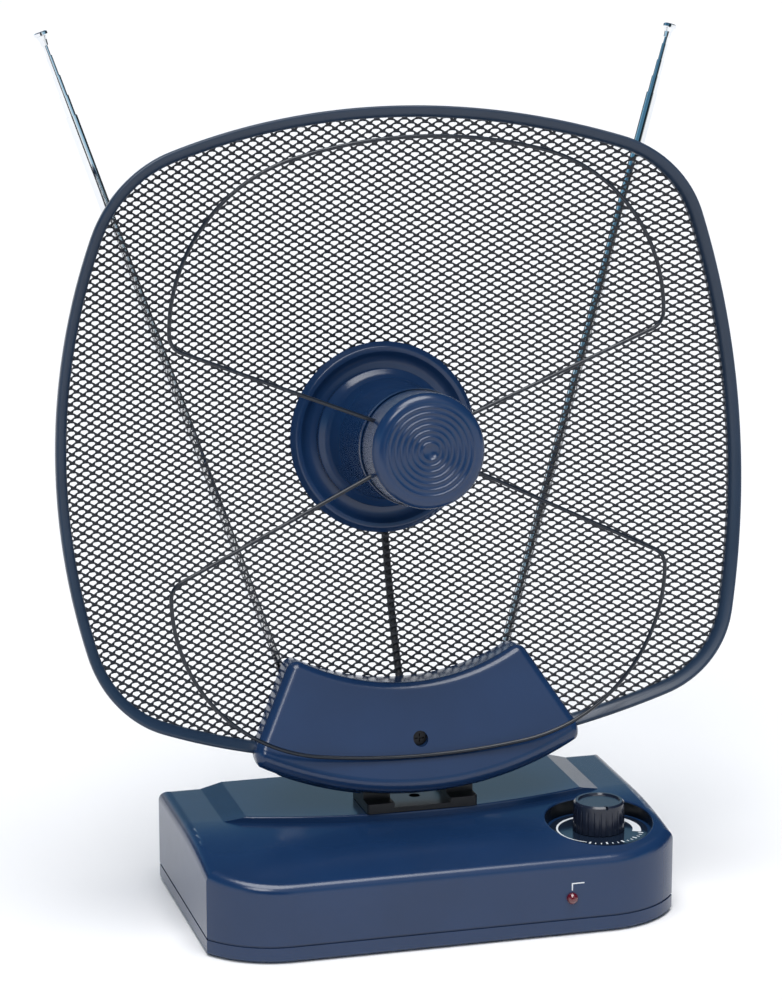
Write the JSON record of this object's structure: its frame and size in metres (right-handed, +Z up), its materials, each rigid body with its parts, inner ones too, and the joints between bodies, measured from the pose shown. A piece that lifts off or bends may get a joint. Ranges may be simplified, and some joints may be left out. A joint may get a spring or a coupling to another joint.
{
  "type": "rabbit ears antenna",
  "caption": "Indoor aerial with a dished mesh reflector, wire loops and folding telescopic rods on a moulded base with a gain knob.",
  "frame": {"origin": "centre of the base's resting face, which is level with the feet", "axes": "+Z up, -Y towards the front with the gain knob, +X to the right seen from the front"},
  "size_m": [0.3028, 0.1472, 0.373],
  "materials": {
    "navy_plastic": "satin moulded",
    "black_plastic": "satin moulded",
    "rim_plastic": "satin",
    "rubber": "matte",
    "screw_steel": "blackened",
    "circuit_board": "lacquered",
    "tinned_steel": "tinned",
    "scale_print": "printed",
    "lamp_red": "clear red resin",
    "plated_brass": "nickel plated",
    "mesh_black": "black coated",
    "loop_wire": "enamelled",
    "cable_black": "satin",
    "rod_chrome": "polished"
  },
  "bodies": {
    "base": {"base_cover": "navy_plastic", "base_plate": "navy_plastic", "rubber_feet": "rubber", "base_screws": "screw_steel", "amplifier_board": "circuit_board", "shield_can": "tinned_steel", "gain_potentiometer": "tinned_steel", "dial_scale": "scale_print", "power_lamp": "lamp_red", "aerial_socket": "plated_brass", "power_jack": "black_plastic"},
    "swivel": {"swivel_turntable": "black_plastic", "swivel_retainer": "screw_steel", "hinge_pin": "screw_steel"},
    "head": {"hinge_tongue": "black_plastic", "shoe_front_shell": "navy_plastic", "shoe_rear_shell": "navy_plastic", "shoe_screws": "screw_steel", "reflector_mesh": "mesh_black", "reflector_rim": "rim_plastic", "boss_flange": "navy_plastic", "boss_neck": "navy_plastic", "boss_cap": "navy_plastic", "rear_clamp": "navy_plastic", "clamp_screws": "screw_steel", "matching_board": "circuit_board", "upper_loop": "loop_wire", "lower_loop": "loop_wire", "downlead": "cable_black", "pivot_screws": "screw_steel"},
    "knob": {"gain_shaft": "tinned_steel", "gain_knob": "black_plastic"},
    "left_rod": {"left_rod_knuckle": "rod_chrome", "left_rod_tube": "rod_chrome"},
    "left_section_1": {"left_rod_section_1": "rod_chrome"},
    "left_section_2": {"left_rod_section_2": "rod_chrome"},
    "left_section_3": {"left_rod_section_3": "rod_chrome"},
    "left_section_4": {"left_rod_section_4": "rod_chrome", "left_rod_tip": "rod_chrome"},
    "right_rod": {"right_rod_knuckle": "rod_chrome", "right_rod_tube": "rod_chrome"},
    "right_section_1": {"right_rod_section_1": "rod_chrome"},
    "right_section_2": {"right_rod_section_2": "rod_chrome"},
    "right_section_3": {"right_rod_section_3": "rod_chrome"},
    "right_section_4": {"right_rod_section_4": "rod_chrome", "right_rod_tip": "rod_chrome"}
  },
  "joints": [
    {"name": "swivel_turn", "type": "hinge", "parent": "base", "child": "swivel", "pos_m": [0, 0.006, 0.044], "axis": [0, 0, 1], "range_deg": [-90, 90]},
    {"name": "head_tilt", "type": "hinge", "parent": "swivel", "child": "head", "pos_m": [0, 0.005, 0.0555], "axis": [1, 0, 0], "range_deg": [-10, 10]},
    {"name": "gain_turn", "type": "hinge", "parent": "base", "child": "knob", "pos_m": [0.0738, -0.025, 0.04], "axis": [0, 0, -1], "range_deg": [-135, 135]},
    {"name": "left_rod_swing", "type": "hinge", "parent": "head", "child": "left_rod", "pos_m": [-0.0436, 0.04525, 0.07716], "axis": [0, -0.9914, 0.1305], "range_deg": [-15, 66]},
    {"name": "left_slide_1", "type": "slide", "parent": "left_rod", "child": "left_section_1", "axis": [-0.3156, 0.1239, 0.9408], "range_m": [-0.004, 0.222]},
    {"name": "left_slide_2", "type": "slide", "parent": "left_section_1", "child": "left_section_2", "axis": [-0.3156, 0.1239, 0.9408], "range_m": [-0.004, 0.222]},
    {"name": "left_slide_3", "type": "slide", "parent": "left_section_2", "child": "left_section_3", "axis": [-0.3156, 0.1239, 0.9408], "range_m": [-0.004, 0.222]},
    {"name": "left_slide_4", "type": "slide", "parent": "left_section_3", "child": "left_section_4", "axis": [-0.3156, 0.1239, 0.9408], "range_m": [-0.004, 0.222]},
    {"name": "right_rod_swing", "type": "hinge", "parent": "head", "child": "right_rod", "pos_m": [0.0472, 0.04525, 0.07716], "axis": [0, 0.9914, -0.1305], "range_deg": [-15, 66]},
    {"name": "right_slide_1", "type": "slide", "parent": "right_rod", "child": "right_section_1", "axis": [0.299, 0.1246, 0.9461], "range_m": [-0.0025, 0.222]},
    {"name": "right_slide_2", "type": "slide", "parent": "right_section_1", "child": "right_section_2", "axis": [0.299, 0.1246, 0.9461], "range_m": [-0.0025, 0.222]},
    {"name": "right_slide_3", "type": "slide", "parent": "right_section_2", "child": "right_section_3", "axis": [0.299, 0.1246, 0.9461], "range_m": [-0.0025, 0.222]},
    {"name": "right_slide_4", "type": "slide", "parent": "right_section_3", "child": "right_section_4", "axis": [0.299, 0.1246, 0.9461], "range_m": [-0.0025, 0.222]}
  ],
  "couplings": [
    {"joint": "left_slide_2", "follows": "left_slide_1", "ratio": 1},
    {"joint": "left_slide_3", "follows": "left_slide_1", "ratio": 1},
    {"joint": "left_slide_4", "follows": "left_slide_1", "ratio": 1},
    {"joint": "right_slide_2", "follows": "right_slide_1", "ratio": 1},
    {"joint": "right_slide_3", "follows": "right_slide_1", "ratio": 1},
    {"joint": "right_slide_4", "follows": "right_slide_1", "ratio": 1}
  ]
}
